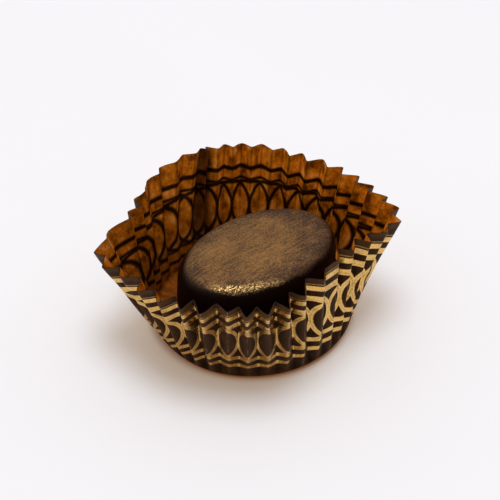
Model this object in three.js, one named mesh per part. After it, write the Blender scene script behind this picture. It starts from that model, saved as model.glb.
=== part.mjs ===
// An oval moulded chocolate standing in a fluted paper sweet case.
// Millimetres, +Z up, the case standing on z = 0.
// +X runs along the long axis of the case's mouth, from its left to its right pinched corner.
import * as THREE from "three";

const DEGREE = Math.PI / 180;
const TURN = 2 * Math.PI;

// ---- the paper case: a flat round floor and a pleated wall, pinched at two corners ----
const PLEATS = 37;
const PAPER = 0.3; // thickness of the modelled paper
const CORNER_RADIUS = 1.2; // soft bend between floor and wall
const WALL_SLANT = 19.4; // height of the wall measured along its slope
const FACET_AT_FLOOR = 1.45; // width of one flat half pleat at the foot of the wall
const FACET_AT_RIM = 2.85; // and at the rim
const SHALLOWEST_PLEAT = 0.25; // even the most opened pleat keeps this depth
const FOLD_FLAT = 0.055; // each fold is blunted over this share of a pleat
const CENTRED_FROM = 5; // from this far up the wall the pleats stand evenly in and out

// Radius at which the wall, carried down straight, would meet the table, every 30 degrees from +X.
const FOOT = [16.8, 16.8, 16.8, 16.6, 16.5, 16.4, 16.2, 16.3, 16.8, 16.8, 16.8, 16.8];

// Lean of the wall out of upright, in degrees, every 20 degrees round the mouth from +X.
// The right corner is at 0 and the left corner at 180; 90 is the back and 270 the front.
const LEAN = [24.5, 18, 14.5, 13.5, 21.3, 22.6, 18, 13.4, 11, 29, 22, 20, 16.5, 15.5, 12, 3, 0, 9];

// How far the pleats are pushed round the mouth at the rim, in degrees, at the same places.
const DRIFT = [6, 1, -1, -1.5, -2, -7, -16, -12.5, -5, -4.5, -4, -1.5, -2, -3.5, -5, -2, 7, 7.5];
const FIRST_PLEAT = 184; // direction of the first ridge, at the left corner
const TIGHT_PLEAT = 8.5; // this inward fold, at the back left, is squeezed nearly shut
const TIGHT_REACH = 0.65; // in pleats
const TIGHT_SQUEEZE = 0.5;
const FOOT_SHIFT = -4.5; // the front folds stand this many degrees further left at the foot
const FOOT_SHIFT_AT = 244;
const FOOT_SHIFT_REACH = 28;

// ---- the chocolate: an oval block with a soft shoulder and a gently domed top ----
const PRALINE_LONG = 15.5; // half of its greatest length
const PRALINE_SHORT = 10.8; // half of its greatest width
const PRALINE_TURN = 30; // its long axis, in degrees from +X
const PRALINE_CENTRE = [0.9, -1.1];
const PRALINE_HEIGHT = 15.1;
const PRALINE_GAP = 0.3; // air under it
const FOOT_RADIUS = 0.9; // rounding of its bottom edge
const SIDE_TAPER = 0.5; // how far the side comes in below the shoulder
const SHOULDER_WIDTH = 3.0;
const SHOULDER_DROP = 3.2; // height of the shoulder curve
const DOME = 0.5; // rise of the top inside the shoulder

const FLUTE_COLUMNS = [-FOLD_FLAT, FOLD_FLAT, 0.5 - FOLD_FLAT, 0.5 + FOLD_FLAT];
const BEND_ROWS = [0, 0.35, 0.7];
const WALL_ROWS = [3, 5.5, 8.5, 12, 15.5, WALL_SLANT];

// A smooth closed curve through values that stand evenly round a turn.
function roundTheMouth(values, degrees) {
  const count = values.length;
  const place = ((((degrees / 360) * count) % count) + count) % count;
  const first = Math.floor(place);
  const t = place - first;
  const at = (step) => values[(first + step + count) % count];
  const slopeIn = (at(1) - at(-1)) / 2;
  const slopeOut = (at(2) - at(0)) / 2;
  const rise = at(1) - at(0);
  return at(0) + t * (slopeIn + t * (3 * rise - 2 * slopeIn - slopeOut + t * (slopeIn + slopeOut - 2 * rise)));
}

// Direction round the case of the place `pleat` (counted clockwise), `up` = 0 at the foot to 1 at the rim.
function direction(pleat, up) {
  const even = FIRST_PLEAT - (360 * (pleat - 1)) / PLEATS;
  const wrapped = ((((pleat - TIGHT_PLEAT) % PLEATS) + 1.5 * PLEATS) % PLEATS) - PLEATS / 2;
  const squeeze = TIGHT_SQUEEZE * wrapped * Math.exp(-((wrapped / TIGHT_REACH) ** 2)) * (360 / PLEATS);
  const fromShift = ((((even - FOOT_SHIFT_AT) % 360) + 540) % 360) - 180;
  const shift = FOOT_SHIFT * Math.exp(-((fromShift / FOOT_SHIFT_REACH) ** 2));
  return even + up * (roundTheMouth(DRIFT, even) + squeeze) + (1 - up) * shift;
}

// A point of the unpleated wall, with the directions across the paper and up the slope.
// `bend` runs 0 to 1 through the bend at the foot, `slant` is the distance up the slope after it.
function wallPoint(pleat, bend, slant) {
  const degrees = direction(pleat, slant / WALL_SLANT);
  const rise = 90 * DEGREE - roundTheMouth(LEAN, degrees) * DEGREE;
  const turned = rise * bend;
  const tangent = CORNER_RADIUS * Math.tan(rise / 2);
  const out = new THREE.Vector3(Math.cos(degrees * DEGREE), Math.sin(degrees * DEGREE), 0);
  const up = new THREE.Vector3(0, 0, 1);
  const foot = roundTheMouth(FOOT, degrees);
  let radius = foot - tangent + CORNER_RADIUS * Math.sin(turned);
  let height = CORNER_RADIUS * (1 - Math.cos(turned));
  if (slant > 0) {
    radius = foot + slant * Math.cos(rise);
    height = slant * Math.sin(rise);
  }
  const point = out.clone().multiplyScalar(radius).addScaledVector(up, height + PAPER / 2);
  const across = out.clone().multiplyScalar(Math.sin(turned)).addScaledVector(up, -Math.cos(turned));
  return { point, across };
}

// Depth of the pleats: the flat paper is longer than the way round, and the rest goes into the folds.
function pleatDepth(pleat, bend, slant) {
  const step = 0.05;
  const ahead = wallPoint(pleat + step, bend, slant).point;
  const behind = wallPoint(pleat - step, bend, slant).point;
  const half = ahead.distanceTo(behind) / (4 * step);
  const facet = FACET_AT_FLOOR + ((FACET_AT_RIM - FACET_AT_FLOOR) * slant) / WALL_SLANT;
  const spare = facet * facet - half * half;
  const least = (SHALLOWEST_PLEAT * slant) / WALL_SLANT;
  return Math.sqrt(Math.max(spare, least * least));
}

// +1 on the outward ridge, -1 in the inward fold, straight facets between.
function flute(share) {
  const fromRidge = Math.abs(share - Math.round(share));
  const straight = (fromRidge - FOLD_FLAT) / (0.5 - 2 * FOLD_FLAT);
  return 1 - 2 * Math.min(1, Math.max(0, straight));
}

// The middle of the paper at one place of the pleated wall.
function pleatedPoint(pleat, bend, slant) {
  const { point, across } = wallPoint(pleat, bend, slant);
  const depth = pleatDepth(pleat, bend, slant) * bend;
  const centred = Math.min(1, slant / CENTRED_FROM);
  const shift = (depth / 2) * (flute(pleat) - (1 - centred));
  return point.addScaledVector(across, shift);
}

function rowPlaces() {
  const rows = BEND_ROWS.map((bend) => ({ bend, slant: 0 }));
  for (const slant of WALL_ROWS) {
    rows.push({ bend: 1, slant });
  }
  return rows;
}

// The two faces of the paper: each middle point moved half a thickness along the mitre of its folds.
function paperFaces(rows) {
  const columns = PLEATS * FLUTE_COLUMNS.length;
  const middle = rows.map(({ bend, slant }) => {
    const row = [];
    for (let pleat = 1; pleat <= PLEATS; pleat += 1) {
      for (const share of FLUTE_COLUMNS) {
        row.push(pleatedPoint(pleat + share, bend, slant));
      }
    }
    return row;
  });
  const outside = [];
  const inside = [];
  for (let r = 0; r < rows.length; r += 1) {
    for (let c = 0; c < columns; c += 1) {
      const here = middle[r][c];
      const uphill = middle[Math.min(r + 1, rows.length - 1)][c].clone();
      uphill.sub(middle[Math.max(r - 1, 0)][c]);
      const before = here.clone().sub(middle[r][(c + columns - 1) % columns]);
      const after = middle[r][(c + 1) % columns].clone().sub(here);
      const left = before.cross(uphill).normalize();
      const right = after.cross(uphill).normalize();
      const mitre = left.clone().add(right).normalize();
      const reach = r === 0 ? new THREE.Vector3(0, 0, 1) : mitre.divideScalar(mitre.dot(left));
      inside.push(here.clone().addScaledVector(reach, PAPER / 2));
      outside.push(here.clone().addScaledVector(reach, -PAPER / 2));
    }
  }
  return { outside, inside, columns };
}

function meshGeometry(points, triangles) {
  const geometry = new THREE.BufferGeometry();
  const flat = points.flatMap((point) => [point.x, point.y, point.z]);
  geometry.setAttribute("position", new THREE.Float32BufferAttribute(flat, 3));
  geometry.setIndex(triangles.flat());
  geometry.computeVertexNormals();
  return geometry;
}

// Two triangles between four neighbours; the columns run clockwise seen from above.
function quad(a, b, c, d) {
  return [
    [a, b, c],
    [a, c, d],
  ];
}

function paperCaseGeometry() {
  const rows = rowPlaces();
  const { outside, inside, columns } = paperFaces(rows);
  const points = [...outside, ...inside];
  const shift = outside.length;
  const triangles = [];
  const at = (r, c) => r * columns + (c % columns);
  for (let r = 0; r + 1 < rows.length; r += 1) {
    for (let c = 0; c < columns; c += 1) {
      const a = at(r, c);
      const b = at(r, c + 1);
      const d = at(r + 1, c);
      const e = at(r + 1, c + 1);
      triangles.push(...quad(b, a, d, e));
      triangles.push(...quad(shift + a, shift + b, shift + e, shift + d));
    }
  }
  const top = rows.length - 1;
  const underCentre = points.push(new THREE.Vector3(0, 0, 0)) - 1;
  const overCentre = points.push(new THREE.Vector3(0, 0, PAPER)) - 1;
  for (let c = 0; c < columns; c += 1) {
    const a = at(top, c);
    const b = at(top, c + 1);
    triangles.push(...quad(b, a, shift + a, shift + b));
    triangles.push([underCentre, c, at(0, c + 1)]);
    triangles.push([overCentre, shift + at(0, c + 1), shift + c]);
  }
  return meshGeometry(points, triangles);
}

// Half of the chocolate's outline from the middle of its underside to the top of its dome:
// how far each point lies inside the widest outline, and its height.
function pralineProfile() {
  const profile = [];
  for (let i = 0; i <= 3; i += 1) {
    const angle = (i / 3) * 90 * DEGREE;
    profile.push([FOOT_RADIUS * (1 - Math.sin(angle)), FOOT_RADIUS * (1 - Math.cos(angle))]);
  }
  const shoulderFoot = PRALINE_HEIGHT - DOME - SHOULDER_DROP;
  for (let i = 0; i <= 7; i += 1) {
    const angle = (i / 7) * 82 * DEGREE;
    const inwards = SIDE_TAPER + SHOULDER_WIDTH * (1 - Math.cos(angle));
    profile.push([inwards, shoulderFoot + SHOULDER_DROP * Math.sin(angle)]);
  }
  return profile;
}

function pralineGeometry() {
  const around = 88;
  const domeRings = [0.72, 0.45, 0.2];
  const profile = pralineProfile();
  const [lastInset, lastHeight] = profile[profile.length - 1];
  const points = [];
  const base = PAPER + PRALINE_GAP;
  const addRing = (long, short, height) => {
    for (let i = 0; i < around; i += 1) {
      const angle = (i / around) * TURN;
      points.push(new THREE.Vector3(long * Math.cos(angle), short * Math.sin(angle), base + height));
    }
  };
  for (const [inset, height] of profile) {
    addRing(PRALINE_LONG - inset, PRALINE_SHORT - inset, height);
  }
  for (const share of domeRings) {
    const height = lastHeight + (PRALINE_HEIGHT - lastHeight) * (1 - share * share);
    addRing((PRALINE_LONG - lastInset) * share, (PRALINE_SHORT - lastInset) * share, height);
  }
  const rings = profile.length + domeRings.length;
  const bottom = points.push(new THREE.Vector3(0, 0, base)) - 1;
  const top = points.push(new THREE.Vector3(0, 0, base + PRALINE_HEIGHT)) - 1;
  const triangles = [];
  for (let i = 0; i < around; i += 1) {
    const next = (i + 1) % around;
    for (let r = 0; r + 1 < rings; r += 1) {
      triangles.push(...quad(r * around + i, r * around + next, (r + 1) * around + next, (r + 1) * around + i));
    }
    triangles.push([bottom, next, i]);
    triangles.push([top, (rings - 1) * around + i, (rings - 1) * around + next]);
  }
  const geometry = meshGeometry(points, triangles);
  geometry.rotateZ(PRALINE_TURN * DEGREE);
  geometry.translate(PRALINE_CENTRE[0], PRALINE_CENTRE[1], 0);
  return geometry;
}

function named(name, geometry, material) {
  const mesh = new THREE.Mesh(geometry, material);
  mesh.name = name;
  return mesh;
}

const paper = new THREE.MeshStandardMaterial({ color: 0x5a4128, roughness: 0.55, metalness: 0.1 });
paper.name = "paper";
const chocolate = new THREE.MeshStandardMaterial({ color: 0x2a1710, roughness: 0.4, metalness: 0.0 });
chocolate.name = "chocolate";

const truffle = new THREE.Group();
truffle.name = "chocolate_truffle";
truffle.add(named("paper_case", paperCaseGeometry(), paper));
truffle.add(named("praline", pralineGeometry(), chocolate));

// The origin goes to the middle of the footprint of the whole, on the table.
const extent = new THREE.Box3().setFromObject(truffle);
const centre = extent.getCenter(new THREE.Vector3());
for (const mesh of truffle.children) {
  mesh.geometry.translate(-centre.x, -centre.y, -extent.min.z);
}

export default truffle;
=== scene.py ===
# %% [markdown]
# # A moulded chocolate in a fluted paper case
# This lesson builds a small sweet: an oval block of dark chocolate, brushed with gold
# dust, standing in a pleated paper case that is printed in gold on brown. A packed
# model of the same sweet comes first and gives every piece its place. The case and the
# chocolate are then made again as fine meshes, and each gets a material of its own.

import math

import bpy
import numpy as np
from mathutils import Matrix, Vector


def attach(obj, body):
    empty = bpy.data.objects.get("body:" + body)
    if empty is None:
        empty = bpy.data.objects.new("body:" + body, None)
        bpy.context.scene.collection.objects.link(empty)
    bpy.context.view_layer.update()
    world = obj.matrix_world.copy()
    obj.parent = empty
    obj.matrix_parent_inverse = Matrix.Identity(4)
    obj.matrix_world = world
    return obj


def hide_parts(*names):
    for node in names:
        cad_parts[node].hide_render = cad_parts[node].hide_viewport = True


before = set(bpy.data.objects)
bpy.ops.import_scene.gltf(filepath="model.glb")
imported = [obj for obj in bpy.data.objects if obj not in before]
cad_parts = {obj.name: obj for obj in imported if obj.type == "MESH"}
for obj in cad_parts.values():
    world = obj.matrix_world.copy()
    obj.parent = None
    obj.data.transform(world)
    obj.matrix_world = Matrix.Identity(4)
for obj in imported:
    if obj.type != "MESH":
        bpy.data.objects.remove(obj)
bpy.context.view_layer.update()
MM = 0.001
print("packed pieces:", sorted(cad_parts))

# %% [markdown]
# ## The camera
# A sweet is pictured from a little above, from so far away that the lens hardly bends
# its lines. A long lens does the same here. The camera could be turned by three angles,
# but it is easier to say which point it looks at and from which side, and to let
# Blender turn that line into a rotation.

# %% Camera
CAMERA_TURN = math.radians(-10)
CAMERA_HEIGHT = math.radians(38.4)
CAMERA_DISTANCE = 487 * MM
CAMERA_LENS = 200.6
NEAREST_SEEN = 10 * MM
LOOKS_AT = Vector((3.208, 15.97, 0)) * MM


def make_camera():
    """A camera with a long lens, at its distance from the point that it looks at."""
    back = Vector(
        (
            math.sin(CAMERA_TURN) * math.cos(CAMERA_HEIGHT),
            -math.cos(CAMERA_TURN) * math.cos(CAMERA_HEIGHT),
            math.sin(CAMERA_HEIGHT),
        )
    )
    camera = bpy.data.objects.new("camera", bpy.data.cameras.new("camera"))
    camera.data.lens = CAMERA_LENS
    camera.data.clip_start = NEAREST_SEEN
    camera.location = LOOKS_AT + CAMERA_DISTANCE * back
    camera.rotation_euler = (-back).to_track_quat("-Z", "Y").to_euler()
    bpy.context.scene.collection.objects.link(camera)
    bpy.context.scene.camera = camera
    return camera


camera = make_camera()
print("camera at", [round(x, 3) for x in camera.location])

# %% [markdown]
# ## Arithmetic for materials
# A material in Blender is a net of small nodes, and a formula such as `1 - mask` takes
# one node for each sign. Wiring them by hand hides the formula. The class below wraps
# one output of a node, so that Python's own signs add the Math nodes, and every other
# kind of node comes from its one `node` method.


# %% A socket that can be calculated with
class Wire:
    """One output of a node in a material, with arithmetic."""

    def __init__(self, tree, socket=None):
        self.tree = tree
        self.socket = socket

    def node(self, kind, settings=None, sockets=None, output=0):
        """Add a node: its settings first, then a value or a wire for each socket."""
        made = self.tree.nodes.new(kind)
        for name, value in (settings or {}).items():
            setattr(made, name, value)
        for name, value in (sockets or {}).items():
            if isinstance(value, Wire):
                self.tree.links.new(value.socket, made.inputs[name])
            else:
                made.inputs[name].default_value = value
        if isinstance(output, tuple):
            return [Wire(self.tree, made.outputs[name]) for name in output]
        return Wire(self.tree, made.outputs[output]) if made.outputs else None

    def maths(self, operation, *values):
        sockets = dict(enumerate(values))
        return self.node("ShaderNodeMath", {"operation": operation}, sockets)

    def __add__(self, other):
        return self.maths("ADD", self, other)

    def __sub__(self, other):
        return self.maths("SUBTRACT", self, other)

    def __rsub__(self, other):
        return self.maths("SUBTRACT", other, self)

    def __mul__(self, other):
        return self.maths("MULTIPLY", self, other)

    def __truediv__(self, other):
        return self.maths("DIVIDE", self, other)

    def __pow__(self, other):
        return self.maths("POWER", self, other)

    def __abs__(self):
        return self.maths("ABSOLUTE", self)

    __radd__ = __add__
    __rmul__ = __mul__


# %% Steps, mixes and grain
NO_LIGHT = (0, 0, 0, 1)


def rises(value, low, high):
    """0 below `low` and 1 above `high`, with a soft step; it falls if high < low."""
    return value.node(
        "ShaderNodeMapRange",
        {"interpolation_type": "SMOOTHSTEP"},
        {"Value": value, "From Min": low, "From Max": high},
    )


def near(distance, half, soft):
    """A line: 1 within `half` of the line's middle, with edges `soft` wide."""
    return rises(distance, half + soft / 2, half - soft / 2)


def mixed(mask, under, over):
    """The colour `under` where the mask is 0, and `over` where it is 1."""
    return mask.node("ShaderNodeMix", {"data_type": "RGBA"}, {0: mask, 6: under, 7: over}, 2)


def either(first, *others):
    """The highest of several masks."""
    for other in others:
        first = first.maths("MAXIMUM", first, other)
    return first


def grain(place, scale, detail=2, roughness=0.5):
    """Soft noise from 0 to 1; `scale` is how many lumps there are to a unit of `place`."""
    return place.node(
        "ShaderNodeTexNoise",
        None,
        {"Vector": place, "Scale": scale, "Detail": detail, "Roughness": roughness},
    )


def bumps(height, strength, distance):
    """A surface that stands `distance` millimetres higher where `height` is 1."""
    return height.node(
        "ShaderNodeBump",
        None,
        {"Height": height, "Strength": strength, "Distance": distance * MM},
    )


# %% Places and materials
def in_millimetres(tree):
    """Places on the piece, in millimetres."""
    place = Wire(tree).node("ShaderNodeTexCoord", output="Object")
    return place.node("ShaderNodeVectorMath", {"operation": "SCALE"}, {0: place, "Scale": 1 / MM})


def parts_of(place, names):
    """Some of the three values of a place: `names` is one of X, Y and Z, or several."""
    return place.node("ShaderNodeSeparateXYZ", None, {0: place}, names)


def vector(x, y, z):
    """Three values as one place."""
    return x.node("ShaderNodeCombineXYZ", None, {0: x, 1: y, 2: z})


def new_material(name):
    """An empty material: its node tree, and a function that finishes it."""
    material = bpy.data.materials.new(name)
    material.use_nodes = True
    tree = material.node_tree
    tree.nodes.clear()

    def finish(**finishes):
        """Close the material with one principled shader; `Base_Color` is Base Color."""
        sockets = {key.replace("_", " "): value for key, value in finishes.items()}
        shader = Wire(tree).node("ShaderNodeBsdfPrincipled", None, sockets)
        Wire(tree).node("ShaderNodeOutputMaterial", None, {"Surface": shader})
        print("material", name, "has", len(tree.nodes), "nodes")
        return material

    return tree, finish


# %% [markdown]
# ## The measures of the case
# The case begins as a round of paper. Its middle stays flat as the floor, and the rest
# is pressed up into 37 pleats. In use it is pinched at two ends, so the mouth has two
# corners, the foot isn't quite round, and the wall leans by a different angle all the
# way round. A list here holds values that stand evenly round the case: the radius of
# the foot, the lean of the wall from upright, and how far the rim is turned against the
# foot. Directions are counted anticlockwise from the right, and the pleats clockwise
# from the first one, at the left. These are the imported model's own measures, in
# millimetres and degrees, repeated so that the fine case stands in the same place.

# %% Measures of the case
PLEATS = 37
FIRST_PLEAT = 184
PAPER = 0.12
FLOOR_CENTRE = (0.331, -1.207)
CORNER_RADIUS = 1.2
WALL_SLANT = 19.4
FOOT = [16.8, 16.8, 16.8, 16.6, 16.5, 16.4, 16.2, 16.3, 16.8, 16.8, 16.8, 16.8]
LEAN = [24.5, 18, 14.5, 13.5, 21.3, 22.6, 18, 13.4, 11, 29, 22, 20, 16.5, 15.5, 12, 3, 0, 9]
DRIFT = [6, 1, -1, -1.5, -2, -7, -16, -12.5, -5, -4.5, -4, -1.5, -2, -3.5, -5, -2, 7, 7.5]


def round_the_mouth(values, degrees):
    """A smooth closed curve through values that stand evenly round a turn."""
    values = np.asarray(values, float)
    count = len(values)
    place = np.mod(degrees / 360 * count, count)
    first = np.floor(place).astype(int)
    t = place - first
    before, here, after, beyond = (values[(first + step) % count] for step in (-1, 0, 1, 2))
    slope_in, slope_out, rise = (after - before) / 2, (beyond - here) / 2, after - here
    bow = 3 * rise - 2 * slope_in - slope_out
    return here + t * (slope_in + t * (bow + t * (slope_in + slope_out - 2 * rise)))


print("one pleat at the foot is", round(2 * math.pi * FOOT[0] / PLEATS, 2), "mm wide")

# %% [markdown]
# ## Which way each pleat points
# The pleats stand evenly round the floor before the case is used. A thumb then pressed
# a few of them close together at the back, and pushed the foot of the wall a little to
# one side near the front. Both are single soft bumps, so a bell curve for each is
# enough, and the rest of the wall isn't disturbed.

# %% Directions
TIGHT_PLEAT = 8.5
TIGHT_REACH = 0.65
TIGHT_SQUEEZE = 0.5
FOOT_SHIFT = -4.5
FOOT_SHIFT_AT = 244
FOOT_SHIFT_REACH = 28


def even_direction(pleat):
    """Direction of a pleat at the foot of the wall; the pleats are counted clockwise."""
    return FIRST_PLEAT - 360 * (pleat - 1) / PLEATS


def direction(pleat, up):
    """Direction of a place in the wall, `up` = 0 at the foot to 1 at the rim."""
    even = even_direction(pleat)
    wrapped = np.mod(pleat - TIGHT_PLEAT + PLEATS / 2, PLEATS) - PLEATS / 2
    squeeze = TIGHT_SQUEEZE * wrapped * np.exp(-((wrapped / TIGHT_REACH) ** 2)) * 360 / PLEATS
    from_shift = np.mod(even - FOOT_SHIFT_AT + 180, 360) - 180
    shift = FOOT_SHIFT * np.exp(-((from_shift / FOOT_SHIFT_REACH) ** 2))
    return even + up * (round_the_mouth(DRIFT, even) + squeeze) + (1 - up) * shift


print("pleat 10 points to", round(float(direction(10, 1)), 1), "degrees at the rim")

# %% [markdown]
# ## The wall before it is pleated
# Without its pleats the wall is a smooth bowl: a bend at the foot, then straight up its
# slope. Every place on it has a point and a direction across the paper, and the pleats
# are later pushed in and out along that direction. NumPy works the whole wall out at
# once, row by column, which is shorter and much faster than a loop over its points.


# %% The smooth wall
def smooth_wall(pleat, bend, slant):
    """Points of the wall and directions across it, for a row of pleats and rows of heights."""
    degrees = direction(pleat, slant / WALL_SLANT)
    rise = np.radians(90 - round_the_mouth(LEAN, degrees))
    turned = rise * bend
    foot = round_the_mouth(FOOT, degrees)
    in_wall = slant > 0
    bent = foot + CORNER_RADIUS * (np.sin(turned) - np.tan(rise / 2))
    radius = np.where(in_wall, foot + slant * np.cos(rise), bent)
    height = np.where(in_wall, slant * np.sin(rise), CORNER_RADIUS * (1 - np.cos(turned)))
    angle = np.radians(degrees)
    out = np.stack([np.cos(angle), np.sin(angle), 0 * angle], axis=-1)
    up = np.array([0, 0, 1])
    point = out * radius[..., None] + up * height[..., None]
    across = out * np.sin(turned)[..., None] - up * np.cos(turned)[..., None]
    return point, across


# %% [markdown]
# ## How deep the pleats are
# The depth isn't free. Half a pleat is one facet of flat paper, and pressing doesn't
# stretch it. Where the way round is shorter than the paper, what is spare goes into the
# folds, so the depth is one side of a right-angled triangle: the facet is its long
# side, and half the pleat's share of the way round is its other side.

# %% Depth of the pleats
FACET_AT_FLOOR = 1.45
FACET_AT_RIM = 2.85
SHALLOWEST_PLEAT = 0.25
SMALL_STEP = 0.05


def pleat_depth(pleat, bend, slant):
    """From an inward fold to an outward ridge, across the wall."""
    ahead, _ = smooth_wall(pleat + SMALL_STEP, bend, slant)
    behind, _ = smooth_wall(pleat - SMALL_STEP, bend, slant)
    half = np.linalg.norm(ahead - behind, axis=-1) / (4 * SMALL_STEP)
    facet = FACET_AT_FLOOR + (FACET_AT_RIM - FACET_AT_FLOOR) * slant / WALL_SLANT
    least = SHALLOWEST_PLEAT * slant / WALL_SLANT
    return np.sqrt(np.maximum(facet**2 - half**2, least**2))


# %% [markdown]
# ## The folds
# A pressed pleat is two flat facets with a soft fold between them. A triangle wave
# gives knife-sharp folds and a sine gives none at all. The arcsine of a sine is exactly
# a triangle wave, and a sine held back a little before the arcsine is taken rounds the
# folds and leaves the facets flat. The outward ridges of this case are wide and soft, and
# the inward folds are narrow. All of them are softer at the back, where the paper has
# relaxed.

# %% The shape of one pleat
RIDGE_HOLD = 0.87
FOLD_HOLD = 0.975
RELAXED = 0.05
CRISP_TOWARDS = 290


def flute(pleat):
    """+1 on the outward ridge and -1 in the inward fold, with flat facets between."""
    turn = np.radians(even_direction(pleat) - CRISP_TOWARDS)
    wave = np.cos(2 * np.pi * pleat)
    held = FOLD_HOLD + (RIDGE_HOLD - FOLD_HOLD) * (1 + wave) / 2
    held = held - RELAXED * (1 - np.cos(turn)) / 2
    return np.arcsin(held * wave) / np.arcsin(held)


# %% [markdown]
# ## Small irregularities
# No two pleats of a pressed case are the same, and a finger has bent some of them. A
# seeded random number for each half pleat pushes the folds a little sideways and in or
# out, more towards the rim, and a few long waves make the facets lightly uneven. The
# folds that are plainly bent are set one by one: whole numbers are ridges, halves are
# inward folds, and each has a push sideways in pleats and outwards in millimetres.

# %% Uneven folds
luck = np.random.default_rng(37)
FOLD_SIDEWAYS = 0.05
FOLD_IN_OUT = 0.11
BENT_FOLDS = {
    23: (0.1, 0.1),
    23.5: (-0.3, -0.4),
    24.5: (-0.25, -0.5),
    25: (-0.23, -0.45),
    25.5: (0.05, 0.6),
    26: (0, 0),
    26.5: (0.16, -1.1),
    27: (0.14, -0.6),
    27.5: (0.25, -0.9),
    28: (0, 0),
    28.5: (0.05, 0),
    29: (0, 0),
    29.5: (0, 0.5),
    30: (0, 0),
    30.5: (-0.12, 0.2),
    31: (-0.12, -0.9),
    31.5: (0, 0),
}
sideways = luck.normal(0, FOLD_SIDEWAYS, 2 * PLEATS)
in_out = luck.normal(0, FOLD_IN_OUT, 2 * PLEATS)
for fold, (aside, outwards) in BENT_FOLDS.items():
    number = round(2 * (fold - 1))
    sideways[number], in_out[number] = aside, outwards
print("largest push in or out:", round(float(np.abs(in_out).max()), 2), "mm")


def per_fold(values, pleat):
    """One value for each fold and ridge, joined smoothly round the case."""
    return round_the_mouth(values, 360 * (pleat - 1) / PLEATS)


# %% Uneven facets
WAVES = [
    (luck.integers(40, 150), luck.uniform(0.15, 0.9), luck.uniform(0, 2 * np.pi))
    for _ in range(9)
]
WAVE_HEIGHT = 0.018


def crumple(pleat, slant):
    """A few waves across the paper, in millimetres."""
    turn = 2 * np.pi * (pleat - 1) / PLEATS
    waves = [np.sin(count * turn + steep * slant + start) for count, steep, start in WAVES]
    return WAVE_HEIGHT * sum(waves)


# %% [markdown]
# ## The middle of the paper, as a grid
# The case is one sheet, so one grid can hold all of it: rows from the centre of the
# floor outwards, through the bend and up to the rim, and columns that crowd together at
# the folds, where the paper turns fastest. The pleats grow from nothing at the bend.
# They start inside the smooth wall, so that the foot stays round, and lie evenly on
# both sides of it higher up. The floor is faintly creased near its edge, where the
# press has held it.

# %% The grid of the sheet
COLUMNS_A_PLEAT = 20
CROWDING = 0.72
FLOOR_SHARES = [0.03, 0.2, 0.4, 0.6, 0.75, 0.85, 0.93]
BENDS = [0, 0.17, 0.34, 0.51, 0.68, 0.84, 1]
FIRST_WALL_ROW = 1.4
WALL_ROWS = 38
FULL_FROM = 2.5
CENTRED_FROM = 5
FLOOR_CREASE = 0.09
CREASED_FROM = 0.7


def sheet_grid():
    """The middle of the paper: its points, each column's pleat and each row's height."""
    even = np.arange(COLUMNS_A_PLEAT * PLEATS + 1) / COLUMNS_A_PLEAT
    pleat = (1 + even - CROWDING * np.sin(4 * np.pi * even) / (4 * np.pi))[None, :]
    walls = np.linspace(FIRST_WALL_ROW, WALL_SLANT, WALL_ROWS)
    bend = np.array(BENDS + [1] * WALL_ROWS)[:, None]
    slant = np.array([0] * len(BENDS) + list(walls))[:, None]
    up = slant / WALL_SLANT

    shifted = pleat + per_fold(sideways, pleat) * up
    point, across = smooth_wall(shifted, bend, slant)
    depth = pleat_depth(shifted, bend, slant) * np.minimum(1, slant / FULL_FROM) ** 0.5
    centred = np.minimum(1, slant / CENTRED_FROM)
    push = depth / 2 * (flute(pleat) - (1 - centred))
    push = push + up * per_fold(in_out, pleat) + up * crumple(pleat, slant)
    wall = point + across * push[..., None]

    shares = np.array(FLOOR_SHARES)[:, None]
    floor = wall[0][None] * shares[..., None]
    creased = np.clip((shares - CREASED_FROM) / (1 - CREASED_FROM), 0, 1) ** 2
    floor[..., 2] = FLOOR_CREASE * creased * (1 + flute(pleat)) / 2
    wall[..., 2] += FLOOR_CREASE * (1 - bend) * (1 + flute(pleat)) / 2
    grid = np.concatenate([floor, wall])
    grid += np.array([*FLOOR_CENTRE, PAPER / 2])
    run = np.concatenate([(shares[:, 0] - 1) * FOOT[0], slant[:, 0]])
    return grid, pleat[0], run


grid, pleat_of_column, height_of_row = sheet_grid()
print("the sheet has", grid.shape[0], "rows and", grid.shape[1] - 1, "columns")

# %% [markdown]
# ## Where the print lies
# The pattern was printed on the flat round before it was pressed, a little off the
# centre, so the same ring of the pattern runs higher on one side of the finished case
# than on the other, and the rings have drifted a little along the way round. A UV map
# called Paper keeps this: U counts the pleats once round, and V is the height in the
# print. A second map called Folds says where the paper is folded, because painted
# shade, sheen, highlights and glow, and a thin pale line along some ridges, follow the folds.

# %% Print coordinates
PRINT_SLIP = [2.2, 1.9, 1.9, 1.85, 1.9, 1.95, 1.6, 0.9, 0.2, 0, 0, 0.15]
SLIP_GROWS = 0.25
RINGS = 36
RING_DRIFT = [0, 0.08, 0.25, 0.27, 0, 0.15, 0, -0.2, -0.2, -0.29, -0.16, -0.12]


def print_places(pleat, height):
    """U and V of every place in the grid, in the map of the print."""
    slip = round_the_mouth(PRINT_SLIP, even_direction(pleat))[None, :]
    wall = np.clip(height / WALL_SLANT, 0, 1)[:, None]
    drift = round_the_mouth(RING_DRIFT, even_direction(pleat)) / RINGS
    u = np.broadcast_to((pleat - 1) / PLEATS + drift, (len(height), len(pleat)))
    v = (height[:, None] + slip * wall**SLIP_GROWS) / WALL_SLANT
    return np.stack([u, v], axis=-1)


def fold_places(pleat, height):
    """U and V of every place in the grid, in the map of the folds."""
    u = np.broadcast_to((pleat - 1) / PLEATS, (len(height), len(pleat)))
    v = np.broadcast_to(height[:, None] / WALL_SLANT, u.shape)
    return np.stack([u, v], axis=-1)


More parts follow.
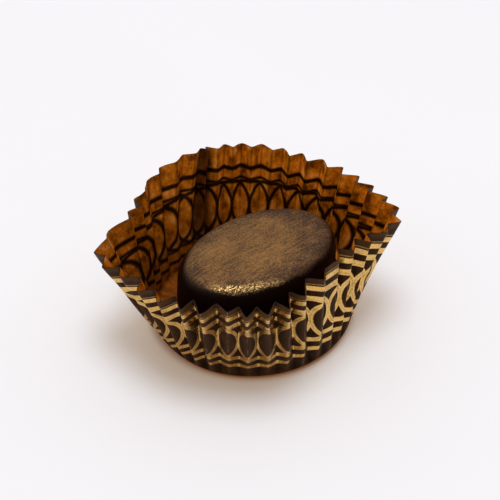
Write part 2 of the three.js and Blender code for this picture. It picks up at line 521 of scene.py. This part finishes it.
print_uv = print_places(pleat_of_column, height_of_row)
fold_uv = fold_places(pleat_of_column, height_of_row)
print("V runs from", print_uv[..., 1].min().round(2), "to", print_uv[..., 1].max().round(2))

# %% [markdown]
# ## Paper with two faces
# Thin paper could be a single surface, but then its cut edge would be missing and the
# finished model would have no body. Each point of the grid is moved half a thickness to
# either side, along the paper's own normal, and the two faces are joined at the rim.


# %% Faces of a sheet
def paper_faces(grid):
    """The outer and the inner face of the paper, half a thickness from its middle."""
    sheet = grid[:, :-1]
    round_way = np.roll(sheet, -1, axis=1) - np.roll(sheet, 1, axis=1)
    up_way = np.gradient(sheet, axis=0)
    normal = np.cross(round_way, up_way)
    normal /= np.linalg.norm(normal, axis=-1, keepdims=True)
    return sheet - normal * PAPER / 2, sheet + normal * PAPER / 2


def quads(rows, columns, start, flipped):
    """Corner numbers and grid places of every quad in a face that closes on itself."""
    r, c = (a.ravel() for a in np.meshgrid(np.arange(rows - 1), np.arange(columns), indexing="ij"))
    corner_r = np.stack([r, r, r + 1, r + 1], axis=1)
    corner_c = np.stack([c, c + 1, c + 1, c], axis=1)
    if flipped:
        corner_r, corner_c = corner_r[:, ::-1], corner_c[:, ::-1]
    return start + corner_r * columns + corner_c % columns, corner_r, corner_c


def new_piece(name, points, faces):
    """A mesh object in the scene, from points and faces."""
    mesh = bpy.data.meshes.new(name)
    mesh.from_pydata(points, [], faces)
    piece = bpy.data.objects.new(name, mesh)
    bpy.context.scene.collection.objects.link(piece)
    return piece


# %% The closed case
OUTSIDE, INSIDE, EDGE = 0, 1, 2
SHARP_FROM = math.radians(60)


def make_case():
    """The fluted case as one closed mesh with three materials and its print coordinates."""
    outside, inside = paper_faces(grid)
    rows, columns = outside.shape[:2]
    size = rows * columns
    faces, prints, folds, kinds = [], [], [], []

    def add(numbers, r, c, kind):
        faces.extend(map(tuple, numbers.tolist()))
        prints.append(print_uv[r, c].reshape(-1, 2))
        folds.append(fold_uv[r, c].reshape(-1, 2))
        kinds.extend([kind] * len(numbers))

    add(*quads(rows, columns, 0, True), OUTSIDE)
    add(*quads(rows, columns, size, False), INSIDE)
    c = np.arange(columns)
    ahead = (c + 1) % columns
    top = (rows - 1) * columns
    rim = np.stack([top + c, size + top + c, size + top + ahead, top + ahead], axis=1)
    add(rim, np.full((columns, 4), rows - 1), np.stack([c, c, c + 1, c + 1], axis=1), EDGE)
    for start, centre, kind in ((0, 2 * size, OUTSIDE), (size, 2 * size + 1, INSIDE)):
        fan = np.stack([start + c, start + ahead, np.full(columns, centre)], axis=1)
        places = np.stack([c, c + 1, c], axis=1)
        if kind == INSIDE:
            fan, places = fan[:, ::-1], places[:, ::-1]
        add(fan, np.zeros((columns, 3), int), places, kind)

    middle = np.array([[*FLOOR_CENTRE, 0], [*FLOOR_CENTRE, PAPER]])
    points = np.concatenate([outside.reshape(-1, 3), inside.reshape(-1, 3), middle]) * MM
    piece = new_piece("fluted_case", points.tolist(), faces)
    for name, places in (("Paper", prints), ("Folds", folds)):
        layer = piece.data.uv_layers.new(name=name)
        layer.uv.foreach_set("vector", np.concatenate(places).astype(np.float32).ravel())
    piece.data.polygons.foreach_set("material_index", kinds)
    piece.data.shade_smooth()
    piece.data.set_sharp_from_angle(angle=SHARP_FROM)
    return piece


case = make_case()
print("case:", len(case.data.polygons), "faces, valid:", not case.data.validate())

# %% [markdown]
# ## The printed pattern
# The print is an old kind of border: a row of rings that cross each other, between pairs
# of stripes. One ring is about two pleats wide and stands about one pleat from the next,
# so two neighbours meet in the middle of every ring. A picture could hold it, but a
# formula stays sharp at any distance: a place is on a ring if its distance from the
# ring's centre, measured with the ring's own width and height, is close to 1.

# %% Rings and stripes
RING_CENTRE = 9.1
RING_HALF_HEIGHT = 4.5
RING_MEAN_RADIUS = 4.4
RING_STEP = 3
RINGS_A_MILLIMETRE = 0.3
STRIPES = [(1.6, 2.62), (3.85, 4.6), (13.45, 14.1), (15.3, 16.15)]
WOBBLES = 0.35


def paper_place(tree, wobble):
    """Rings round the case and millimetres down from the print's rim, a little unsteady."""
    uv = Wire(tree).node("ShaderNodeUVMap", {"uv_map": "Paper"})
    u, v = parts_of(uv, ("X", "Y"))
    ring, down = u * RINGS, WALL_SLANT - v * WALL_SLANT
    drift = grain(vector(ring * RING_STEP, down, 0 * u), WOBBLES)
    ring_wobble = wobble * RINGS_A_MILLIMETRE
    return ring + ring_wobble * (drift - 0.5), down + wobble * (drift - 0.5)


def ring_lines(ring, down, half, soft):
    """The crossing rings, drawn with lines twice `half` wide."""
    aside = abs(ring.maths("FRACT", ring) - 0.5)
    below = (down - RING_CENTRE) / RING_HALF_HEIGHT
    masks = []
    for offset in (aside, 1 - aside):
        reach = (offset * offset + below * below) ** 0.5
        masks.append(near(abs(reach - 1) * RING_MEAN_RADIUS, half, soft))
    return either(*masks)


def stripe(down, edges, trim, soft):
    """One stripe between two heights, each edge drawn in by `trim`."""
    top, bottom = edges
    return near(abs(down - (top + bottom) / 2), (bottom - top) / 2 - trim, soft)


def stripe_lines(down, trim, soft):
    """The stripes above and below the rings."""
    return either(*(stripe(down, edges, trim, soft) for edges in STRIPES))


# %% Folds and sides of the case
def fold_place(tree):
    """Pleats from the nearest outward ridge, height up the wall from 0 to 1, and the turn."""
    uv = Wire(tree).node("ShaderNodeUVMap", {"uv_map": "Folds"})
    turn, up = parts_of(uv, ("X", "Y"))
    pleat = turn * PLEATS
    return 0.5 - abs(pleat.maths("FRACT", pleat) - 0.5), up, turn


def facing(turn, side):
    """1 where the wall faces `side` to -1 on the far side, as a cosine."""
    towards = math.radians(FIRST_PLEAT) - turn * (2 * math.pi)
    return towards.maths("COSINE", towards - side)


# %% [markdown]
# ## The outside of the paper
# Gold ink lies on brown ink. The gold is a fine metal powder in varnish: metal all
# through, but speckled and thinner in places, with a faint brown line along the middle
# of each ring. On the front side the flat facets between the folds are darkened with
# painted shade, so its folds stand out as painted highlights. The brown is worn lighter
# in random patches, has a painted sheen on the ridges and at the rim, and painted shade
# in the folds. The ink ends just above the foot, and leaves a narrow line of bare paper,
# where a faint painted glow stands for the little light that comes through.

# %% Gold ink
GOLD_INK = (0.8, 0.505, 0.16, 1)
GOLD_DULL_AND_SHADED = (0.34, 0.17, 0.03, 1)
SHADED_SIDE = math.radians(262)
RING_LINE = 0.35
INLINE = 0.05
HAIRLINE = (1.08, 1.32)


def gold_mask(tree, speckle):
    """1 where there is gold: rings with a thin line along them, stripes and a faint hairline."""
    ring, down = paper_place(tree, 0.16)
    rings = ring_lines(ring, down, RING_LINE, 0.14)
    inline = ring_lines(ring, down, INLINE, 0.1)
    stripes = stripe_lines(down, 0, 0.16)
    hairline = stripe(down, HAIRLINE, 0, 0.1)
    gold = either(rings * (1 - 0.25 * inline), stripes, hairline * 0.4)
    return gold * rises(speckle, 0.22, 0.36)


def gold_colour(speckle, patches, from_ridge, turn):
    """Uneven gold, with painted shade between the folds of the front side, whose folds stay bright
    as painted highlights.
    """
    # Painted shade on the flat facets of the front side, which leaves painted highlights on its
    # folds.
    highlit_folds = either(rises(from_ridge, 0.15, 0.04) * 0.8, rises(from_ridge, 0.38, 0.47))
    front_shade = rises(facing(turn, SHADED_SIDE), 0.8, 0.96)
    tone_and_shade = 0.62 + 1.1 * (speckle - 0.5) + 0.9 * (patches - 0.5)
    tone_and_shade = tone_and_shade - 0.38 * front_shade * (1 - highlit_folds)
    return mixed(rises(tone_and_shade, 0.15, 0.75), GOLD_DULL_AND_SHADED, GOLD_INK)


# %% Brown ink
BROWN_INK = (0.028, 0.0093, 0.0018, 1)
BROWN_WORN_AND_SHEEN = (0.09, 0.038, 0.013, 1)
BROWN_FOLD_SHADE = (0.008, 0.0028, 0.0006, 1)
CREASE = (0.34, 0.24, 0.17, 1)
CREASE_WIDTH = 0.008
CREASE_WANDERS = 0.06


def brown_colour(place, speckle, patches, from_ridge, up):
    """Brown ink: worn in random patches, with painted sheen on the ridges and at the rim, painted
    shade in the folds, and a thin pale line on some ridges.
    """
    wear_and_sheen = rises(0.6 * patches + 0.6 * speckle, 0.5, 0.9) * 0.8
    # Painted sheen at the rim and on the ridges, over the worn patches.
    wear_and_sheen = either(wear_and_sheen, rises(up, 0.9, 0.97), rises(from_ridge, 0.3, 0.06) * 0.5)
    brown = mixed(wear_and_sheen, BROWN_INK, BROWN_WORN_AND_SHEEN)
    # Painted shade in the folds.
    brown = mixed(rises(from_ridge, 0.34, 0.48) * 0.6, brown, BROWN_FOLD_SHADE)
    wandering = from_ridge + CREASE_WANDERS * (grain(place, 0.8) - 0.5)
    crease = near(wandering, CREASE_WIDTH, 0.02)
    return mixed(crease * rises(patches, 0.45, 0.6) * 0.5, brown, CREASE)


# %% Printed paper
# BARE_FOOT is the unprinted paper; FOOT_LIGHT is a painted glow on it that stands for light
# through the paper.
BARE_FOOT = (0.3, 0.1, 0.02, 1)
FOOT_LIGHT = (0.07, 0.024, 0.004, 1)
BARE_BELOW = (1.0, 0.35)
LIT_FROM = (-0.06, -0.01)
INK_RELIEF = 0.04


def printed_paper():
    """Gold rings and stripes on brown, with a bare line at the foot."""
    tree, finish = new_material("printed_paper")
    place = in_millimetres(tree)
    from_ridge, up, turn = fold_place(tree)
    speckle = grain(place, 3.2, 3, 0.7)
    patches = grain(place, 0.5, 2)
    fibres = grain(place, 5, 3, 0.6)
    gold = gold_mask(tree, speckle)
    metal = gold_colour(speckle, patches, from_ridge, turn)
    brown = brown_colour(place, speckle, patches, from_ridge, up)
    bare = rises(parts_of(place, "Z"), *BARE_BELOW)
    brown = mixed(bare, brown, BARE_FOOT)
    return finish(
        Base_Color=mixed(gold, brown, metal),
        # A faint painted glow on the bare line at the foot, for light through the paper.
        Emission_Color=mixed(bare * rises(up, *LIT_FROM), NO_LIGHT, FOOT_LIGHT),
        Emission_Strength=1,
        Metallic=gold,
        Roughness=0.42 + 0.08 * (fibres - 0.5) - 0.2 * gold,
        Normal=bumps(fibres + gold * 0.6, 0.25, INK_RELIEF),
        Specular_IOR_Level=0.04,
    )


# %% [markdown]
# ## The inside of the paper
# The inside carries no print of its own. Light comes through the brown ink and makes
# the paper amber, but no light passes the gold, so the pattern shows again on the
# inside as blurred dark lines. Real translucency would do this by itself, but it is
# slow and noisy, and other programs lose it, so the dark lines are drawn, and a faint
# glow stands for the light that comes through. It is strongest near the rim and on the
# side away from the chocolate's overhang. Less comes through where the paper is folded,
# and none where the squeezed pleats lie close together.

# %% Amber colours
AMBER = (0.44, 0.118, 0.003, 1)
AMBER_LIGHT = (0.95, 0.47, 0.15, 1)
AMBER_SHADE = (0.13, 0.029, 0.001, 1)
SHOW_THROUGH = (0.008, 0.002, 0.0008, 1)
THROUGH_LIGHT = (0.19, 0.05, 0.001, 1)
TUCKED_SHADE = (0.04, 0.01, 0.0008, 1)
BRIGHT_SIDE = math.radians(35)
BLURRED_RING = 0.4
BLURRED_TRIM = 0.07
PRINT_ENDS = (18.4, 17.6)
TUCKED_HALF = 0.75


def amber_colour(tone, folded, height, side, tucked):
    """Mottled amber: shaded in the folds, low in the wall and where pleats are tucked in."""
    amber = mixed(rises(tone, 0.42, 0.56), AMBER_SHADE, AMBER)
    amber = mixed(rises(tone, 0.54, 0.72) * 0.8, amber, AMBER_LIGHT)
    low = rises(height, 0.75, 0.15) * (0.9 - 0.55 * side)
    amber = mixed(either(folded * 0.5, low), amber, AMBER_SHADE)
    return mixed(tucked * 0.7, amber, TUCKED_SHADE)


# %% Amber paper
def amber_paper():
    """The unprinted inside, with the print showing through."""
    tree, finish = new_material("amber_paper")
    place = in_millimetres(tree)
    ring, down = paper_place(tree, 0.3)
    rings = ring_lines(ring, down, BLURRED_RING, 0.5)
    stripes = stripe_lines(down, BLURRED_TRIM, 0.45)
    dark = either(rings, stripes) * rises(down, *PRINT_ENDS)
    streaks = grain(vector(ring * 1.7, down * 0.22, 0 * down), 1.6, 3)
    clouds = grain(place, 0.45, 3, 0.6)
    fibres = grain(place, 3.2, 3, 0.7)
    tone = streaks * 0.4 + clouds * 0.45 + fibres * 0.2
    from_ridge, height, turn = fold_place(tree)
    folded = either(rises(from_ridge, 0.09, 0), rises(from_ridge, 0.42, 0.5))
    tucked = near(abs(turn * PLEATS + 1 - TIGHT_PLEAT), TUCKED_HALF, 0.5)
    side = 0.5 + 0.5 * facing(turn, BRIGHT_SIDE)
    amber = amber_colour(tone, folded, height, side, tucked)
    glow = rises(height, 0.05, 0.9) * (0.2 + 0.8 * side) * (1 - 0.7 * folded)
    glow = glow * rises(tone, 0.35, 0.65) * (1 - dark) * (1 - tucked)
    return finish(
        Base_Color=mixed(dark * 0.96, amber, SHOW_THROUGH),
        Emission_Color=mixed(glow, NO_LIGHT, THROUGH_LIGHT),
        Emission_Strength=1,
        Roughness=0.5 + 0.12 * (clouds - 0.5),
        Normal=bumps(fibres, 0.3, INK_RELIEF),
        Specular_IOR_Level=0.06,
    )


# %% Cut edge
EDGE_DARK = (0.01, 0.004, 0.0015, 1)
EDGE_LIGHT = (0.035, 0.015, 0.006, 1)


def cut_edge():
    """The bare edge of the paper, dyed by the ink."""
    tree, finish = new_material("cut_edge")
    fibres = grain(in_millimetres(tree), 6, 2)
    colour = mixed(fibres, EDGE_DARK, EDGE_LIGHT)
    return finish(Base_Color=colour, Roughness=0.7, Specular_IOR_Level=0.1)


for material in (printed_paper(), amber_paper(), cut_edge()):
    case.data.materials.append(material)

# %% [markdown]
# ## The chocolate
# An oval block from a mould: flat foot, nearly upright side, a soft shoulder and a top
# with the faintest dome. Rings of one oval, drawn in by a profile, give it in one go,
# and the rings lie closest where the shoulder turns. It stands on the paper with just
# enough room for the creases under it.

# %% Measures of the chocolate
PRALINE_LONG = 15.5
PRALINE_SHORT = 10.8
PRALINE_TURN = math.radians(30)
PRALINE_CENTRE = (FLOOR_CENTRE[0] + 0.9, FLOOR_CENTRE[1] - 1.1)
PRALINE_TOP = 15.7
PRALINE_FOOT = PAPER + 0.06
FOOT_RADIUS = 0.9
SIDE_TAPER = 0.5
SHOULDER_WIDTH = 3.0
SHOULDER_DROP = 3.2
SHOULDER_END = math.radians(82)
DOME = 0.5
FOOT_RINGS, SIDE_RINGS, SHOULDER_RINGS, TOP_RINGS = 7, 12, 20, 18
AROUND = 208


def praline_rings():
    """How far each ring is drawn in and how high it lies, from the foot to the top's middle."""
    rings = []
    for angle in np.radians(np.linspace(0, 90, FOOT_RINGS)):
        inset = FOOT_RADIUS * (1 - math.sin(angle))
        rings.append((inset, 1, PRALINE_FOOT + FOOT_RADIUS * (1 - math.cos(angle))))
    shoulder = PRALINE_TOP - DOME - SHOULDER_DROP
    foot_end = PRALINE_FOOT + FOOT_RADIUS
    for share in np.linspace(0, 1, SIDE_RINGS)[1:-1]:
        rings.append((SIDE_TAPER * share, 1, foot_end + share * (shoulder - foot_end)))
    for angle in np.linspace(0, SHOULDER_END, SHOULDER_RINGS):
        inset = SIDE_TAPER + SHOULDER_WIDTH * (1 - math.cos(angle))
        rings.append((inset, 1, shoulder + SHOULDER_DROP * math.sin(angle)))
    inset, _, height = rings[-1]
    for share in np.linspace(1, 0, TOP_RINGS)[1:-1]:
        rings.append((inset, share, height + (PRALINE_TOP - height) * (1 - share**2)))
    return rings


# %% The chocolate's mesh
def make_praline():
    """The chocolate as one closed mesh."""
    angle = np.linspace(0, 2 * np.pi, AROUND, endpoint=False)
    layers = []
    for inset, share, height in praline_rings():
        long, short = (PRALINE_LONG - inset) * share, (PRALINE_SHORT - inset) * share
        ring = [long * np.cos(angle), short * np.sin(angle), 0 * angle + height]
        layers.append(np.stack(ring, axis=1))
    points = np.concatenate([*layers, [[0, 0, PRALINE_FOOT], [0, 0, PRALINE_TOP]]])
    cos, sin = math.cos(PRALINE_TURN), math.sin(PRALINE_TURN)
    turned = points @ np.array([[cos, sin, 0], [-sin, cos, 0], [0, 0, 1]])
    turned += np.array([*PRALINE_CENTRE, 0])
    numbers, _, _ = quads(len(layers), AROUND, 0, False)
    faces = list(map(tuple, numbers.tolist()))
    top = (len(layers) - 1) * AROUND
    for i in range(AROUND):
        ahead = (i + 1) % AROUND
        faces.append((len(points) - 2, ahead, i))
        faces.append((len(points) - 1, top + i, top + ahead))
    piece = new_piece("gold_dusted_praline", (turned * MM).tolist(), faces)
    piece.data.shade_smooth()
    return piece


praline = make_praline()
print("praline:", len(praline.data.polygons), "faces, valid:", not praline.data.validate())

# %% [markdown]
# ## Dark chocolate under gold dust
# The sides are bare chocolate as it left the mould: almost black, and glossy. The top
# was brushed along its length with edible gold dust. The dust lies in fine strokes, and
# the top is darker towards its edges. On the front shoulder a band of metal flecks is
# painted bright as a glint of the light. The same masks for how much dust lies at each
# place drive the colour, the metal and the roughness together.

# %% Where the dust lies
DUST_LONG = 13.9
DUST_SHORT = 9.3
DUST_SHIFT = 0.3
TOP_MIDDLE_SHIFT = -0.1
GLINT_TOWARDS = math.radians(229)


def along_and_aside(place):
    """Millimetres along the chocolate from its middle, millimetres to its side, and height."""
    x, y, z = parts_of(place, ("X", "Y", "Z"))
    cos, sin = math.cos(PRALINE_TURN), math.sin(PRALINE_TURN)
    x, y = x - PRALINE_CENTRE[0], y - PRALINE_CENTRE[1]
    return x * cos + y * sin, y * cos - x * sin, z


def glint_band(long, short, reach, ragged):
    """The front shoulder, where bright metal flecks are painted in as a glint."""
    towards = long * math.cos(GLINT_TOWARDS) + short * math.sin(GLINT_TOWARDS)
    starts, ends = rises(reach, 0.84, 0.93), rises(reach + ragged * 0.6, 1.03, 0.99)
    return rises(towards, 0.76, 0.95) * starts * ends


# %% Gold dust
DARK_CHOCOLATE = (0.006, 0.0022, 0.001, 1)
BLOOM_BROWN = (0.04, 0.018, 0.011, 1)
DUST = (0.325, 0.162, 0.049, 1)
DUST_GLINT = (0.92, 0.58, 0.2, 1)
DUST_RELIEF = 0.12


def gold_dust():
    """Chocolate whose top is brushed with gold."""
    tree, finish = new_material("gold_dusted_chocolate")
    place = in_millimetres(tree)
    along, aside, z = along_and_aside(place)
    strokes = grain(vector(along * 0.45, aside * 2.6, z * 0.6), 1.0, 3, 0.6)
    speckle = grain(place, 3.2, 3, 0.75)
    patches = grain(place, 0.2, 2)
    long, short = (along - DUST_SHIFT) / DUST_LONG, aside / DUST_SHORT
    reach = (long * long + short * short) ** 0.5
    from_top_middle = ((long - TOP_MIDDLE_SHIFT) ** 2 + short * short) ** 0.5
    ragged = 0.1 * (patches - 0.5) + 0.14 * (speckle - 0.5)
    on_top = rises(reach + ragged, 1.04, 0.97)
    tone = (strokes - 0.5) * 1.0 + (speckle - 0.5) * 1.9 + (patches - 0.5) * 0.9
    # The top is made darker further from its middle, through less dust cover.
    tone = tone + 0.56 - 0.42 * rises(from_top_middle, 0.5, 1.14)
    cover = on_top * rises(tone, -0.05, 1.1)
    band = glint_band(long, short, reach, ragged)
    stretched = vector(along * 0.7, aside * 1.4, z * 1.4)
    # Painted glint: bright metal flecks only on the front shoulder.
    glint_flecks = band * rises(grain(stretched, 3.2, 3, 0.85), 0.47, 0.64)
    dusted = either(on_top, band)
    under = mixed(dusted, DARK_CHOCOLATE, BLOOM_BROWN)
    height = speckle * 0.8 + strokes * 0.6
    return finish(
        Base_Color=mixed(glint_flecks, mixed(cover, under, DUST), DUST_GLINT),
        Metallic=either(cover * 0.6, glint_flecks * 0.95),
        Roughness=0.3 + 0.2 * on_top - 0.12 * glint_flecks,
        Normal=bumps(height * dusted, 0.5, DUST_RELIEF),
        Specular_IOR_Level=0.12,
    )


praline.data.materials.append(gold_dust())

# %% [markdown]
# ## The table
# A pale, plain table. Light that has bounced off warm paper and gold tints the shadow
# on a real table. A few bounces in Blender show little of that, so this table has a
# faint warm light of its own, which is seen most where the lamp is shut out. Hardly any
# of it is left round the foot, and a painted contact shadow darkens the table there, so
# that the case is seen to stand on it.

# %% Table
TABLE_SIZE = 3
TABLE_GAP = 0.03 * MM
TABLE_SHADE = (0.68, 0.765, 0.875, 1)
TABLE_LIGHT = (0.71, 0.795, 0.905, 1)
TABLE_GLOW = (0.262, 0.17, 0.088, 1)
CONTACT_SHADOW_COLOUR = (0.66, 0.6, 0.5, 1)
CONTACT_GLOW = (0.05, 0.015, 0, 1)
CONTACT = (-0.9, 1.3)


def pale_table():
    """Pale all over, with a painted contact shadow from just under the foot to just outside it."""
    tree, finish = new_material("pale_table")
    place = in_millimetres(tree)
    colour = mixed(grain(place, 0.02, 2), TABLE_SHADE, TABLE_LIGHT)
    x, y = parts_of(place, ("X", "Y"))
    x, y = x - FLOOR_CENTRE[0], y - FLOOR_CENTRE[1]
    from_foot = (x * x + y * y) ** 0.5 - FOOT[0]
    # Painted contact shadow: darker colour and less glow round the foot.
    open_table = rises(from_foot, *CONTACT)
    return finish(
        Base_Color=mixed(open_table, CONTACT_SHADOW_COLOUR, colour),
        Emission_Color=mixed(open_table, CONTACT_GLOW, TABLE_GLOW),
        Emission_Strength=1,
        Roughness=0.6,
    )


def make_table():
    """A plane that the case stands on."""
    half = TABLE_SIZE / 2
    corners = [(x * half, y * half, -TABLE_GAP) for x, y in ((-1, -1), (1, -1), (1, 1), (-1, 1))]
    table = new_piece("table", corners, [(0, 1, 2, 3)])
    table.data.materials.append(pale_table())
    return table


table = make_table()
print("table:", [round(x, 2) for x in table.dimensions], "m")

# %% [markdown]
# ## The light
# One wide soft lamp hangs overhead, in a room that is bright above and behind the sweet
# and dim low in front of it. The wide lamp keeps every shadow soft and fills the mouth
# of the case, and the room lights the outside of the case from below its rim.

# %% Light
ROOM_DIM = (0.085, 0.083, 0.085, 1)
ROOM_BRIGHT = (0.675, 0.665, 0.675, 1)
LAMP_PLACE = Vector((0.03, 0.05, 0.92))
LAMP_SIZE = 0.5
LAMP_POWER = 4.0


def make_room():
    """A world that is bright above and behind, and dim low in front."""
    world = bpy.data.worlds.new("pale_room")
    world.use_nodes = True
    way = Wire(world.node_tree).node("ShaderNodeTexCoord", output="Generated")
    back, up = parts_of(way, ("Y", "Z"))
    colour = mixed(rises(back * 0.6 + up * 0.8, -0.3, 0.8), ROOM_DIM, ROOM_BRIGHT)
    sky = world.node_tree.nodes["Background"]
    world.node_tree.links.new(colour.socket, sky.inputs["Color"])
    bpy.context.scene.world = world


def make_lamp():
    """A wide soft lamp that looks at the sweet from above."""
    lamp = bpy.data.objects.new("soft_lamp", bpy.data.lights.new("soft_lamp", "AREA"))
    lamp.data.shape = "DISK"
    lamp.data.size = LAMP_SIZE
    lamp.data.energy = LAMP_POWER
    lamp.location = LAMP_PLACE
    lamp.rotation_euler = (-LAMP_PLACE).to_track_quat("-Z", "Y").to_euler()
    bpy.context.scene.collection.objects.link(lamp)


make_room()
make_lamp()
bpy.context.scene.view_settings.view_transform = "Standard"
print("lamp:", LAMP_POWER, "W,", LAMP_SIZE, "m wide")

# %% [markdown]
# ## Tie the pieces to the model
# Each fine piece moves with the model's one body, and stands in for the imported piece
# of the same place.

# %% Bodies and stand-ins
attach(case, "root")
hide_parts("paper_case")
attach(praline, "root")
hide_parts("praline")
